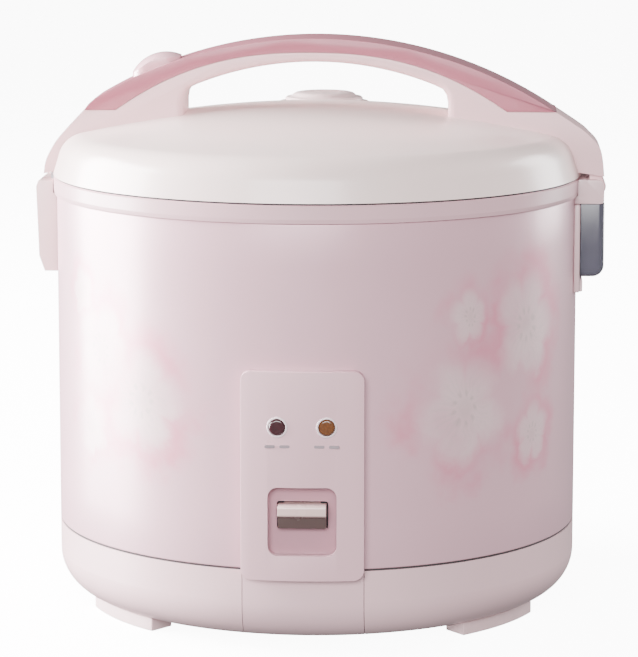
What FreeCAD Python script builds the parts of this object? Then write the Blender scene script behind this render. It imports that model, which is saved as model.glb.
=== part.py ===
import FreeCAD, Part
import math
import os

# Rice cooker. Millimetres, +Z up, front towards -Y, hinge towards +X, feet on z = 0.

# overall
body_r = 135.0
shell_h = 171.0
shell_t = 0.8
shell_bottom = 42.0
band_h = 9.0
seam_gap = 0.8
slack = 0.3          # gap between pieces that move apart
running = 0.05       # radial clearance of a pin that turns

# base
base_wall = 3.2
bowl_r = 20.5
bowl_z = 26.0
base_bottom = 6.0
cover_inset = 30.0
cover_t = 2.4
foot_width = 14.0
foot_inset = 13.3
foot_from = 40.0
foot_to = 68.0

# pot and heater
pot_inset = 25.0
pot_t = 1.6
pot_corner = 22.0
case_gap = 3.0
case_t = 0.8
case_floor = 50.0
plate_top = 70.0
plate_t = 10.0
plate_hole_r = 19.0
element_r = 4.0
cap_r = 16.5
tube_r = 12.0
tube_wall = 1.5
magnet_r = 9.3
rod_r = 2.0

# lid
lid_over = 1.8
lid_side_h = 21.2
shoulder_in = 13.0
crown_rise = 13.7
lid_t = 2.5
vent_y = 74.0
vent_r = 21.0
plug_r = 16.8

# handle
handle_rise = 35.3
handle_w = 36.0
hand_gap = 136.0
strap_t = 12.2
grip_t = 7.6
grip_shift = -2.5      # the grip underside arc sits this far towards the button end
grip_drop = 8.5        # and is this much tighter than the top arc
post_wall = 4.0
button_w = 20.0
button_l = 25.0
button_rise = 6.8
button_travel = 3.3

# latch
pin_r = 1.5
latch_w = 10.0
latch_t = 1.4
catch_depth = 9.6
catch_h = 47.0
catch_w = 38.0

# hinge
hinge_out = 10.0
hinge_drop = 5.0
knuckle_r = 4.5
knuckle_w = 23.0
hinge_pin_r = 2.0

# front panel and lever key
panel_w = 60.0
panel_out = 5.5
panel_top = 141.7
panel_low = 38.7
recess_w = 33.5
recess_h = 34.0
recess_z = 68.0
recess_deep = 6.5
slot_w = 25.0
slot_h = 13.5
slot_z = 70.4
lamp_r = 4.0
lamp_gap = 24.0
lamp_z = 114.7
lever_y = -60.0
lever_z = 34.0
lever_w = 16.0
lever_t = 2.0

# dew collector and inlet
cup_w = 40.0
cup_deep = 12.2
cup_h = 37.8
cup_wall = 1.4
inlet_w = 48.0
inlet_h = 32.0
inlet_z = 68.0
inlet_out = 7.0

# derived
shell_top = shell_bottom + shell_h
ring_top = shell_top + band_h
band_r = body_r + 1.6
lid_bottom = ring_top + seam_gap
shoulder_z = lid_bottom + lid_side_h
shoulder_r = body_r - shoulder_in
crown_top = shoulder_z + crown_rise
sphere_r = (shoulder_r ** 2 + crown_rise ** 2) / (2 * crown_rise)
handle_top = crown_top + handle_rise
pot_r = body_r - pot_inset
case_r = pot_r + case_gap
step_r = pot_r + 11.0
ledge_z = ring_top - 7.3
pot_bottom = plate_top + slack
pot_rim_z = ledge_z + slack
cover_r = body_r - cover_inset
gap_half = hand_gap / 2
button_x = -(gap_half + 15.0)
hinge_x = body_r + hinge_out
hinge_z = ring_top - hinge_drop
latch_x = -(body_r - 4.0)
latch_z = lid_bottom + 3.7
plate_x = -(body_r + 2.0)
arc_c = body_r - 9.0
arc_s = handle_top - (lid_bottom + 31.2)
arc_r = (arc_c ** 2 + arc_s ** 2) / (2 * arc_s)
arc_z = handle_top - arc_r
under_r = arc_r - grip_drop
under_z = handle_top - grip_t - math.sqrt(under_r ** 2 - grip_shift ** 2)


def vec(x, y, z):
    return FreeCAD.Vector(x, y, z)


def box(x0, x1, y0, y1, z0, z1):
    return Part.makeBox(x1 - x0, y1 - y0, z1 - z0, vec(x0, y0, z0))


def post(x, y, z0, z1, r):
    return Part.makeCylinder(r, z1 - z0, vec(x, y, z0))


def bar_x(x0, x1, y, z, r):
    return Part.makeCylinder(r, x1 - x0, vec(x0, y, z), vec(1, 0, 0))


def bar_y(x, y0, y1, z, r):
    return Part.makeCylinder(r, y1 - y0, vec(x, y0, z), vec(0, 1, 0))


def tube(x, y, z0, z1, r1, r0):
    return post(x, y, z0, z1, r1).cut(post(x, y, z0 - 1, z1 + 1, r0))


def outline(steps, put):
    # A step is a point, a pair (middle, end) of an arc, or a list of points of a smooth curve.
    edges = []
    first = steps[0]
    here = first
    for step in steps[1:] + [first]:
        if isinstance(step, list):
            curve = Part.BSplineCurve()
            curve.interpolate([put(p) for p in [here] + step])
            edges.append(curve.toShape())
            here = step[-1]
        elif isinstance(step[0], tuple):
            edges.append(Part.Arc(put(here), put(step[0]), put(step[1])).toShape())
            here = step[1]
        elif put(step).distanceToPoint(put(here)) > 1e-6:
            edges.append(Part.makeLine(put(here), put(step)))
            here = step
    return Part.Face(Part.Wire(edges))


def spin(steps):
    face = outline(steps, lambda p: vec(p[0], 0, p[1]))
    return face.revolve(vec(0, 0, 0), vec(0, 0, 1), 360)


def slab_xz(steps, y0, y1):
    face = outline(steps, lambda p: vec(p[0], y0, p[1]))
    return face.extrude(vec(0, y1 - y0, 0))


def slab_yz(steps, x0, x1):
    face = outline(steps, lambda p: vec(x0, p[0], p[1]))
    return face.extrude(vec(x1 - x0, 0, 0))


def round_box(x0, x1, y0, y1, z0, z1, r, axis):
    shape = box(x0, x1, y0, y1, z0, z1)
    edges = [e for e in shape.Edges if abs(e.tangentAt(e.FirstParameter).dot(axis)) > 0.9]
    return shape.makeFillet(r, edges)


def turned(shape, angle):
    copy = shape.copy()
    copy.rotate(vec(0, 0, 0), vec(0, 0, 1), angle)
    return copy


def around(shape, angles):
    return [turned(shape, a) for a in angles]


def union(shapes):
    return shapes[0].fuse(shapes[1:]).removeSplitter()


def coil(radius, wire_r, pitch, height):
    helix = Part.makeHelix(pitch, height, radius)
    circle = Part.Wire(Part.makeCircle(wire_r, vec(radius, 0, 0), vec(0, 1, 0)))
    return Part.Wire(helix.Edges).makePipeShell([circle], True, True)


def polar(r, angle):
    return r * math.cos(math.radians(angle)), r * math.sin(math.radians(angle))


def ring_point(radius, angle):
    x, y = polar(radius, angle)
    return body_r - bowl_r + x, bowl_z + y


def crown_z(r, inset=0.0):
    return crown_top - sphere_r + math.sqrt((sphere_r - inset) ** 2 - r ** 2)


def arc_top(x, inward):
    return arc_z + math.sqrt((arc_r - inward) ** 2 - x ** 2)


def grip_under(x):
    return under_z + math.sqrt(under_r ** 2 - (x - grip_shift) ** 2)


def under_arc(outward):
    return Part.makeCylinder(under_r + outward, handle_w + 4, vec(grip_shift, -handle_w / 2 - 2, under_z),
                             vec(0, 1, 0))


def save(name, shapes):
    solids = [s for shape in shapes for s in shape.Solids]
    whole = solids[0] if len(solids) == 1 else Part.makeCompound(solids)
    whole.exportStep(os.path.join("parts", name + ".step"))


# base and shell

def base_profile():
    edge = -math.degrees(math.asin((bowl_z - base_bottom) / bowl_r))
    inner = bowl_r - base_wall
    inner_edge = -math.degrees(math.asin((bowl_z - base_bottom - 4.4) / inner))
    return [
        (body_r, shell_bottom),
        (body_r, bowl_z),
        (ring_point(bowl_r, edge / 2), ring_point(bowl_r, edge)),
        (cover_r + slack, base_bottom),
        (cover_r + slack, base_bottom + cover_t),
        (cover_r - 6, base_bottom + cover_t),
        (cover_r - 6, base_bottom + 4.4),
        ring_point(inner, inner_edge),
        (ring_point(inner, inner_edge / 2), (body_r - base_wall, bowl_z)),
        (body_r - base_wall, shell_bottom + 5),
        (body_r - shell_t - slack, shell_bottom + 5),
        (body_r - shell_t - slack, shell_bottom),
    ]


def bottom_screw_set():
    x = cover_r - 3
    screw = post(x, 0, base_bottom + 0.4, base_bottom + 1.8, 3.2)
    screw = screw.fuse(post(x, 0, base_bottom + 1.8, base_bottom + 12, 1.5))
    return around(screw, (45, 135, 225, 315))


def skirt_block(gap):
    half = panel_w / 2 - gap
    return box(-half, half, -body_r - 1, -body_r + 24 - gap, base_bottom - 1, shell_bottom - 1 - gap)


def base_parts():
    bosses = around(post(cover_r - 3, 0, base_bottom + 4, base_bottom + 14, 4), (45, 135, 225, 315))
    screws = bottom_screw_set()
    bowl = spin(base_profile())
    skirt = bowl.common(skirt_block(slack))
    base = union([bowl] + bosses).cut(screws).cut(skirt_block(0))
    base = base.cut(inlet_block(slack))
    save("base_housing", [base])
    save("bottom_screws", screws)

    cover = post(0, 0, base_bottom, base_bottom + cover_t, cover_r).cut(screws)
    slot = round_box(-24, 24, -1.8, 1.8, base_bottom - 1, base_bottom + cover_t + 1, 1.7, vec(0, 0, 1))
    slots = []
    for i in range(5):
        copy = slot.copy()
        copy.translate(vec(0, 36 + 8 * i, 0))
        slots.append(copy)
        slots.append(turned(copy, 180))
    save("bottom_cover", [cover.cut(slots)])

    edge = -math.degrees(math.asin((bowl_z - base_bottom) / bowl_r))
    filled = spin([
        (0, base_bottom),
        ring_point(bowl_r, edge),
        (ring_point(bowl_r, edge / 2), (body_r, bowl_z)),
        (0, bowl_z),
    ])
    foot_r = body_r - foot_inset
    ring = tube(0, 0, 0, 12, foot_r, foot_r - foot_width)
    wedge = Part.makeCylinder(foot_r + 5, 12, vec(0, 0, 0), vec(0, 0, 1), foot_to - foot_from)
    foot = ring.common(turned(wedge, foot_from - 90)).cut(filled)
    mirror = foot.mirror(vec(0, 0, 0), vec(1, 0, 0))
    feet = [foot, mirror, foot.mirror(vec(0, 0, 0), vec(0, 1, 0)), mirror.mirror(vec(0, 0, 0), vec(0, 1, 0))]
    save("feet", feet)
    return skirt


def shell_and_ring():
    shell = tube(0, 0, shell_bottom, shell_top, body_r, body_r - shell_t)
    front = box(-22, 22, -body_r - 1, -body_r / 2, recess_z - 20, lamp_z + 8)
    shell = shell.cut(front).cut(inlet_block(slack))
    save("outer_shell", [shell])

    ring = spin([
        (body_r + 1.2, shell_top),
        (band_r, shell_top + 2),
        (band_r, ring_top - 0.8),
        (band_r - 0.8, ring_top),
        (step_r, ring_top),
        (step_r, ledge_z),
        (case_r, ledge_z),
        (case_r, ledge_z - 2.5),
        (case_r + 1.5, ledge_z - 2.5),
        (case_r + 1.5, ledge_z - 8.7),
        (case_r + 4, ledge_z - 8.7),
        (case_r + 4, ledge_z - 2.5),
        (step_r + 2.5, ledge_z - 2.5),
        (step_r + 2.5, ring_top - 2.5),
        (body_r - base_wall, ring_top - 2.5),
        (body_r - base_wall, shell_top - 6),
        (body_r - shell_t - slack, shell_top - 6),
        (body_r - shell_t - slack, shell_top),
    ])
    bosses = around(post(case_r + 5.5, 0, ledge_z - 8.7, ledge_z - 2, 3), (45, 135, 225, 315))
    screws = case_screw_set()
    notch = box(-band_r - 1, -(body_r + 0.9), -latch_w / 2 - 1.5, latch_w / 2 + 1.5, shell_top - 1, ring_top + 1)
    save("top_ring", [union([ring] + bosses).cut(screws).cut(notch)])
    save("case_screws", screws)


def case_screw_set():
    x = case_r + 5.5
    under = ledge_z - 8.7 - case_t
    screw = post(x, 0, under - 1.8, under, 2.8).fuse(post(x, 0, under, under + 6, 1.3))
    return around(screw, (45, 135, 225, 315))


# front panel

def front_panel(skirt):
    half = panel_w / 2
    ring = tube(0, 0, panel_low, panel_top, body_r + panel_out, body_r)
    edge = round_box(-half, half, -body_r - 20, -body_r / 2, panel_low, panel_top, 5, vec(0, 1, 0))
    raised = ring.common(edge)
    rim = [e for e in raised.Edges if e.CenterOfMass.y < -(body_r + panel_out - 2.6)
           and abs(math.hypot(e.Vertexes[0].X, e.Vertexes[0].Y) - body_r - panel_out) < 0.01
           and abs(math.hypot(e.Vertexes[-1].X, e.Vertexes[-1].Y) - body_r - panel_out) < 0.01]
    raised = raised.makeFillet(1.4, rim)
    bridge = box(-half + 2, half - 2, -body_r - 2, -body_r + 5, panel_low + 0.3, shell_bottom - 1.3)
    bridge = bridge.cut(post(0, 0, 0, shell_top, body_r - 2))
    tray = box(-recess_w / 2 - 2.3, recess_w / 2 + 2.3, -body_r - 2, -body_r + base_wall,
               recess_z - recess_h / 2 - 2, recess_z + recess_h / 2 + 2.5)
    arms = [bar_y(x, -body_r - 2, -body_r + 10, lamp_z, 2.5) for x in (-17.5, 17.5)]
    panel = union([raised, bridge, skirt, tray] + arms)
    floor_y = -(body_r + panel_out - recess_deep)
    panel = panel.cut(round_box(-recess_w / 2, recess_w / 2, -body_r - 20, floor_y,
                                recess_z - recess_h / 2, recess_z + recess_h / 2, 5, vec(0, 1, 0)))
    panel = panel.cut(round_box(-slot_w / 2, slot_w / 2, -body_r - 5, -body_r + 20,
                                slot_z - slot_h / 2, slot_z + slot_h / 2, 1.2, vec(0, 1, 0)))
    for x in (-lamp_gap / 2, lamp_gap / 2):
        panel = panel.cut(bar_y(x, -body_r - 20, -body_r + 20, lamp_z, lamp_r + 0.1))
    save("front_panel", [panel])


def lamps():
    face_y = -(body_r + panel_out)
    for name, x in (("lamp_lens_cook", -lamp_gap / 2), ("lamp_lens_warm", lamp_gap / 2)):
        lens = bar_y(x, face_y - 0.2, -body_r + 2, lamp_z, lamp_r)
        front = [e for e in lens.Edges if abs(e.CenterOfMass.y - (face_y - 0.2)) < 0.01]
        lens = lens.makeFillet(1.2, front)
        save(name, [lens])
    bulbs = [bar_y(x, -body_r + 2.2, -body_r + 10, lamp_z, 2.5) for x in (-lamp_gap / 2, lamp_gap / 2)]
    save("lamp_bulbs", bulbs)
    save("lamp_board", [box(-20, 20, -body_r + 10, -body_r + 11.6, lamp_z - 10, lamp_z + 10)])


# lever key

def lever_parts():
    back = -(body_r + panel_out - recess_deep) - 0.4
    tip = -(body_r + panel_out + 1.5)
    top = slot_z + slot_h / 2 - 0.75
    low = slot_z - slot_h / 2 + 0.75
    half = slot_w / 2 - 0.75
    head = slab_yz([
        (back, top),
        (tip + 1.6, top),
        ((tip + 0.4, top - 0.5), (tip, top - 1.8)),
        (tip, top - 4.2),
        ((tip + 0.5, top - 5.5), (tip + 1.7, top - 6.2)),
        (tip + 3.6, low),
        (back, low),
    ], -half, half)
    stem = box(-9, 9, back, -body_r + 6, top - 4.9, top)
    down_y = -body_r + 9.5
    strip_top = top - 1.4
    lever = slab_yz([
        (back + 1, strip_top),
        (back + 1, strip_top - lever_t),
        (down_y, strip_top - lever_t),
        (down_y, lever_z - lever_t / 2),
        (6, lever_z - lever_t / 2),
        (6, lever_z + lever_t / 2),
        (down_y + lever_t, lever_z + lever_t / 2),
        (down_y + lever_t, strip_top),
    ], -lever_w / 2 + 2, lever_w / 2 - 2)
    hub = bar_x(-9.1, 9.1, lever_y, lever_z, 4)
    fork = box(-rod_r - 0.7, rod_r + 0.7, -rod_r - 1, 10, lever_z - 5, lever_z + 5)
    lever = union([lever, hub]).cut(bar_x(-12, 12, lever_y, lever_z, hinge_pin_r + running)).cut(fork)
    save("lever_arm", [lever])
    save("cook_key", [union([head, stem]).cut(lever)])

    plate = box(-12, 12, lever_y - 8, lever_y + 8, case_floor - 1.6, case_floor)
    ears = [box(x, x + 2, lever_y - 6, lever_y + 6, lever_z - 5, case_floor - 1) for x in (-11.5, 9.5)]
    pin = bar_x(-13, 13, lever_y, lever_z, hinge_pin_r)
    save("lever_bracket", [union([plate] + ears).cut(pin)])
    save("lever_pin", [pin])

    mid_y = lever_y / 2
    body = box(-5, 5, mid_y - 12, mid_y + 5.5, case_floor - 8, case_floor)
    body = body.cut(post(0, mid_y, case_floor - 9, case_floor - 0.5, 1.8))
    save("microswitch", [body])
    save("switch_plunger", [post(0, mid_y, lever_z + 1.4, case_floor - 5, 1.5)])


# pot, heater and thermostat

def pot_and_heater():
    r = case_r
    case = spin([
        (20, case_floor),
        (r + case_t, case_floor),
        (r + case_t, ledge_z - 8.7 - case_t),
        (r + 9, ledge_z - 8.7 - case_t),
        (r + 9, ledge_z - 8.7),
        (r, ledge_z - 8.7),
        (r, case_floor + case_t),
        (20, case_floor + case_t),
    ])
    wires = [post(polar(58, a)[0], polar(58, a)[1], case_floor - 1, case_floor + 2, 4.5) for a in (60, 80)]
    save("inner_case", [case.cut(case_screw_set()).cut(wires)])
    save("warm_band", [tube(0, 0, ledge_z - 75, ledge_z - 40, r + case_t + 1.6, r + case_t)])

    plate_r = pot_r - 28
    plate = tube(0, 0, plate_top - plate_t, plate_top, plate_r, plate_hole_r)
    rim = [e for e in plate.Edges if e.CenterOfMass.z > plate_top - 0.1 and e.BoundBox.XLength > plate_r]
    plate = plate.makeFillet(3, rim)
    legs = around(post(plate_r - 8, 0, case_floor + case_t, plate_top - plate_t + 1, 5), (10, 130, 250))
    save("heater_plate", [union([plate] + legs)])

    ring = Part.makeTorus(58, element_r, vec(0, 0, plate_top - plate_t - element_r))
    ends = [post(polar(58, a)[0], polar(58, a)[1], case_floor - 8, plate_top - plate_t - element_r, 2.5)
            for a in (60, 80)]
    save("heating_element", [union([ring] + ends)])
    save("thermal_fuse", [bar_y(40, -15, 15, case_floor - 3, 3)])

    c = pot_corner
    in_r = pot_r - pot_t
    k = c - pot_t
    s = math.sqrt(0.5)
    low = pot_bottom
    rim_low = pot_rim_z
    pot = spin([
        (0, low),
        (pot_r - c, low),
        ((pot_r - c + c * s, low + c - c * s), (pot_r, low + c)),
        (pot_r, rim_low),
        (pot_r + 8, rim_low),
        ((pot_r + 9, rim_low + 1), (pot_r + 8, rim_low + 2)),
        (in_r, rim_low + 2),
        (in_r, low + c),
        ((pot_r - c + k * s, low + c - k * s), (pot_r - c, low + pot_t)),
        (0, low + pot_t),
    ])
    save("inner_pot", [pot])


def thermostat():
    cap = post(0, 0, plate_top - 4, plate_top, cap_r)
    rim = [e for e in cap.Edges if abs(e.CenterOfMass.z - plate_top) < 0.01]
    cap = cap.makeFillet(1, rim)
    body = tube(0, 0, lever_z + 9.5, plate_top - 4, tube_r, tube_r - tube_wall)
    save("sensor_cap", [union([cap, body])])
    save("sensor_ferrite", [post(0, 0, lever_z + 22.8, plate_top - 4, tube_r - tube_wall - 0.2)])
    save("sensor_seat", [tube(0, 0, case_floor - 0.8, case_floor, 24, tube_r + 0.6)])
    height = plate_top - 4 - case_floor - 1.8
    spring = coil(14.3, 0.6, height / 5, height)
    spring.translate(vec(0, 0, case_floor + 0.7))
    save("sensor_spring", [spring])
    save("magnet", [post(0, 0, lever_z + 10.5, lever_z + 15.5, magnet_r)])
    rod = post(0, 0, lever_z - 8, lever_z + 10.5, rod_r)
    save("magnet_rod", [union([rod, post(0, 0, lever_z + 1.4, lever_z + 4, 5)])])


# inlet

def inlet_block(gap):
    half = inlet_w / 2 - 3.5 + gap
    tall = inlet_h / 2 - 3.5 + gap
    return box(-half, half, body_r - 18, body_r + 1, inlet_z - tall, inlet_z + tall)


def inlet():
    block = inlet_block(0)
    flange = round_box(-inlet_w / 2, inlet_w / 2, body_r - 10, body_r + inlet_out,
                       inlet_z - inlet_h / 2, inlet_z + inlet_h / 2, 5, vec(0, 1, 0))
    flange = flange.cut(post(0, 0, 0, shell_top, body_r))
    back_y = body_r - 15
    socket = round_box(-17.5, 17.5, back_y, body_r + 20, inlet_z - 9, inlet_z + 9, 4, vec(0, 1, 0))
    pins = [bar_y(x, back_y - 2, body_r + 3, inlet_z + z, 2) for x, z in ((-8, 2), (8, 2), (0, -4))]
    save("inlet_housing", [union([block, flange]).cut(socket).cut(pins)])
    save("inlet_pins", pins)


# lid

def lid_screw_set():
    x = body_r - 7.5
    screw = post(x, 0, lid_bottom + 0.2, lid_bottom + 1.6, 2.6)
    screw = screw.fuse(post(x, 0, lid_bottom + 1.6, lid_bottom + 8, 1.3))
    return around(screw, (30, 90, 150, 210, 270, 330))


def lid_solid(inset):
    side = lid_bottom + 9.2
    end_r = shoulder_r - inset * 0.35
    body = spin([
        (0, lid_bottom),
        (body_r + lid_over - inset * 1.08, lid_bottom),
        (body_r - 1 - inset * 1.05, side - inset * 0.2),
        ((body_r - 4.8 - inset * 0.8, side + 7.4 - inset * 0.6), (end_r, crown_z(end_r, inset))),
        (end_r, crown_top + 5),
        (0, crown_top + 5),
    ])
    return body.common(Part.makeSphere(sphere_r - inset, vec(0, 0, crown_top - sphere_r)))


def handle_screw_set():
    screws = []
    for x in (-(gap_half + 35), gap_half + 35):
        for y in (-15.4, 15.4):
            z = crown_z(math.hypot(x, y)) - lid_t
            tip = grip_under(math.copysign(abs(x) + 1.3, x)) - 1.0
            screws.append(post(x, y, z - 1.8, z - 0.2, 2.6).fuse(post(x, y, z - 0.2, tip, 1.3)))
    return screws


def latch_window():
    return box(-(body_r + 5), -(gap_half + post_wall), -latch_w / 2 - 5, latch_w / 2 + 5, lid_bottom - 1, handle_top)


def lid_shell():
    outer = lid_solid(0)
    inner = lid_solid(lid_t)
    low = lid_bottom - 1
    drop = box(-body_r, body_r, -body_r, body_r, low, lid_bottom + 0.001)
    seat_z = crown_z(vent_y) - 0.2
    seat = post(0, vent_y, seat_z - 6, seat_z, vent_r + 3)
    skirt = post(0, vent_y, lid_bottom + 17.2, seat_z - 1, plug_r + 3.2)
    bosses = around(post(body_r - 7.5, 0, lid_bottom + 2, lid_bottom + 10, 3.6), (30, 90, 150, 210, 270, 330))
    bosses = [b.common(outer) for b in bosses]
    cover = union([outer.cut(inner).cut(drop), seat, skirt] + bosses)
    cover = cover.cut(post(0, vent_y, seat_z, crown_top + 5, vent_r + 0.6))
    cover = cover.cut(post(0, vent_y, lid_bottom, crown_top + 5, plug_r + 0.5))
    cover = cover.cut(latch_window()).cut(handle_screw_set()).cut(lid_screw_set())
    save("lid_cover", [cover])

    cap = post(0, vent_y, seat_z + slack, seat_z + 4, vent_r)
    rim = [e for e in cap.Edges if abs(e.CenterOfMass.z - seat_z - 4) < 0.01]
    cap = cap.makeFillet(2, rim)
    oval = round_box(-12, 12, vent_y - 7, vent_y + 7, seat_z + 3, seat_z + 5.3, 6.5, vec(0, 0, 1))
    plug = post(0, vent_y, seat_z - 11, seat_z + 1, plug_r)
    cap = union([cap, oval, plug])
    cap = cap.cut(post(0, vent_y, seat_z - 9.5, seat_z + 2, plug_r - 1.6))
    slots = [box(-8, 8, vent_y + y - 1.5, vent_y + y + 1.5, seat_z, seat_z + 8) for y in (-3, 3)]
    cap = cap.cut(slots).cut(post(0, vent_y, seat_z - 12, seat_z - 9, 1.9))
    save("steam_cap", [cap])

    duct_top = lid_bottom + 15.2
    duct = tube(0, vent_y, lid_bottom - 0.5, duct_top, plug_r + 3.2, 12)
    save("steam_duct", [duct])
    save("steam_seal", [tube(0, vent_y, duct_top, duct_top + 2, plug_r + 3.2, plug_r + 0.6)])

    r = step_r - 1.5
    liner = spin([
        (0, lid_bottom - 2.5),
        (r, lid_bottom - 2.5),
        (r, lid_bottom),
        (body_r - 2, lid_bottom),
        (body_r - 2, lid_bottom + 2),
        (r - 2, lid_bottom + 2),
        (r - 2, lid_bottom - 0.5),
        (0, lid_bottom - 0.5),
    ])
    ear = box(latch_x - 3, latch_x + 3, latch_w / 2 + 1, latch_w / 2 + 3.5, lid_bottom, latch_z + 3)
    ears = [ear, ear.mirror(vec(0, 0, 0), vec(0, 1, 0))]
    room = box(-body_r - 5, latch_x + 5, -latch_w / 2 - 1, latch_w / 2 + 1, lid_bottom - 3, lid_bottom + 5)
    liner = union([liner] + ears).cut(room).cut(lid_screw_set()).cut(latch_pin_shape())
    liner = liner.cut(post(0, vent_y, lid_bottom - 5, lid_bottom, 9))
    save("lid_liner", [liner])
    save("lid_screws", lid_screw_set())

    plate_z = lid_bottom - 5.5
    plate = post(0, 0, plate_z, plate_z + 0.8, pot_r - 4.5)
    plate = plate.fuse(post(0, 0, plate_z, lid_bottom - 2.5, 8)).removeSplitter()
    holes = [post(0, vent_y, plate_z - 1, plate_z + 2, 1.8)]
    for a in range(0, 360, 60):
        x, y = polar(6, a)
        holes.append(post(x, vent_y + y, plate_z - 1, plate_z + 2, 1.8))
    save("lid_plate", [plate.cut(holes)])
    gasket = tube(0, 0, plate_z - 0.8, lid_bottom - 2.5, pot_r - pot_t - 0.8, pot_r - 6.5)
    save("lid_gasket", [gasket.cut(post(0, 0, plate_z, plate_z + 0.8, pot_r - 4.5))])


# handle

def handle_parts():
    half = handle_w / 2
    left_x = -(body_r - 23)
    right_x = body_r - 9
    body = slab_xz([
        (left_x, lid_bottom),
        (left_x, arc_top(left_x, 0)),
        ((0, handle_top), (right_x, arc_top(right_x, 0))),
        [(body_r + 1, lid_bottom + 24.6), (body_r + 6, lid_bottom + 20.4), (body_r + 11.5, lid_bottom + 13.4),
         (body_r + 13.5, lid_bottom)],
    ], -half, half)
    side = slab_xz([
        (left_x, arc_top(left_x, 0)),
        [(left_x - 6, lid_bottom + 34.2), (left_x - 16, lid_bottom + 24), (left_x - 22.5, lid_bottom + 16.2),
         (left_x - 27.3, lid_bottom + 7.2), (left_x - 28.6, lid_bottom)],
        (left_x, lid_bottom),
    ], -half, half)
    under = handle_top - strap_t
    drop = 11.7
    wide = gap_half - 7
    window = slab_xz([
        (-gap_half, lid_bottom - 5),
        (-gap_half, under - drop - 9),
        ((-gap_half + 1.6, under - drop - 3.2), (-wide, under - drop)),
        ((0, under), (wide, under - drop)),
        ((gap_half - 1.6, under - drop - 3.2), (gap_half, under - drop - 9)),
        (gap_half, lid_bottom - 5),
    ], -half - 1, half + 1)
    strap = union([body, side]).cut(window)

    grip_low = lid_bottom + 33.0
    ring = Part.makeCylinder(arc_r + 1, handle_w + 2, vec(0, -half - 1, arc_z), vec(0, 1, 0))
    ring = ring.cut(under_arc(0))
    zone = box(-(body_r - 19), body_r - 13, -half - 1, half + 1, grip_low, handle_top + 1)
    grip_room = ring.common(zone)
    grip = strap.common(grip_room)
    edges = [e for e in grip.Edges if abs(abs(e.CenterOfMass.y) - half) < 0.01
             and e.BoundBox.ZMax > handle_top - 0.5 and e.BoundBox.XLength > hand_gap]
    grip = grip.makeFillet(1.8, [e for e in edges if e.BoundBox.ZMin > grip_low - 0.1 and e.Length > hand_gap
                                 and abs(e.valueAt((e.FirstParameter + e.LastParameter) / 2).z - handle_top) < 1])
    hole = round_box(button_x - button_l / 2 - slack, button_x + button_l / 2 + slack,
                     -button_w / 2 - slack, button_w / 2 + slack, lid_bottom, handle_top + 5, 8, vec(0, 0, 1))
    strap = strap.cut(grip_room)
    save("handle_grip", [grip.cut(hole)])

    cavity_w = half - 5
    cavity_top = under_arc(0.5)
    left = box(-(body_r - 9), -(gap_half + post_wall), -cavity_w, cavity_w, lid_bottom, handle_top)
    right = box(gap_half + post_wall, body_r - 9, -cavity_w, cavity_w, lid_bottom, handle_top)
    inset = 1.9
    end = slab_xz([
        (left_x, lid_bottom - 1),
        (left_x, lid_bottom + 37),
        [(left_x - 6 + inset, lid_bottom + 34.2 - inset), (left_x - 16 + inset, lid_bottom + 24 - inset),
         (left_x - 22.5 + inset, lid_bottom + 16.2 - inset), (left_x - 27.3 + 1, lid_bottom + 7.2),
         (left_x - 28.6 + 1.3, lid_bottom - 1)],
    ], -latch_w / 2 - 5, latch_w / 2 + 5)
    strap = strap.cut([left.common(cavity_top), right.common(cavity_top), end])
    strap = strap.cut(lid_solid(0)).cut(handle_screw_set())
    for y in (-1, 1):
        y0, y1 = sorted((y * (knuckle_w / 2 + 0.5), y * (knuckle_w / 2 + 4)))
        ear = bar_y(hinge_x, y0, y1, hinge_z, knuckle_r - 0.4)
        neck = box(hinge_x - 4.3, hinge_x + 2.5, y0, y1, hinge_z, lid_bottom + 1)
        strap = strap.fuse([ear, neck])
    strap = strap.removeSplitter()
    strap = strap.cut(bar_y(hinge_x, -half, half, hinge_z, hinge_pin_r + running))
    save("handle_strap", [strap])
    save("handle_screws", handle_screw_set())

    block = round_box(button_x - button_l / 2, button_x + button_l / 2, -button_w / 2, button_w / 2,
                      lid_bottom, handle_top + 10, 7.7, vec(0, 0, 1))
    slope = math.asin(button_x / arc_r)
    top = vec(button_x + button_rise * math.sin(slope), 0, arc_top(button_x, 0) + button_rise * math.cos(slope))
    dome_r = 20.0
    dome = Part.makeSphere(dome_r, top - vec(math.sin(slope), 0, math.cos(slope)) * dome_r)
    head = block.common(dome).cut(under_arc(button_travel + 0.8))
    pad_z = latch_pad_z() + 0.4
    stem = box(button_x - 4, button_x + 4, -4.5, 4.5, pad_z, arc_top(button_x, 0))
    save("release_button", [union([head, stem])])


# latch

def latch_pad_z():
    return crown_z(abs(button_x)) + 5.5


def latch_pin_shape():
    return bar_y(latch_x, -latch_w / 2 - 3.5, latch_w / 2 + 3.5, latch_z, pin_r)


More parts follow.
